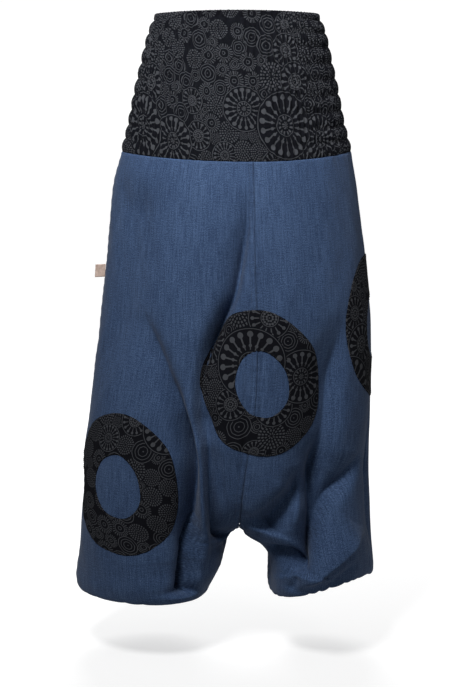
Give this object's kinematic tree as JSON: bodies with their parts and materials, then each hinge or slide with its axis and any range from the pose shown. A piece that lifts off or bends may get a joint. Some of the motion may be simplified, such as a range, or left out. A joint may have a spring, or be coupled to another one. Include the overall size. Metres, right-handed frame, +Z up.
{
  "type": "harem trousers",
  "caption": "Low-crotch harem trousers in the hollow shape they have when worn: wide smocked waistband, denim legs bloused over elastic ankles, ring appliques of the band's print.",
  "frame": {"origin": "centre of the waist opening, on the level of the front of its upper edge, where the wearer's waist holds the garment up", "axes": "+Z up, the front of the garment faces -Y, the wearer's right is at -X"},
  "size_m": [0.4975, 0.3107, 0.9516],
  "materials": {
    "printed_cotton": "matt black cotton with a grey print of wheels and rings",
    "denim": "light blue-indigo denim with fine vertical slubs and a low sheen",
    "label_ribbon": "matt beige woven ribbon, bare"
  },
  "bodies": {
    "root": {"waistband_front": "printed_cotton", "waistband_back": "printed_cotton", "front_right": "denim", "front_left": "denim", "back_right": "denim", "back_left": "denim", "applique_front": "printed_cotton", "applique_right": "printed_cotton", "applique_left": "printed_cotton", "casing_right": "denim", "casing_left": "denim", "label": "label_ribbon"}
  },
  "joints": []
}
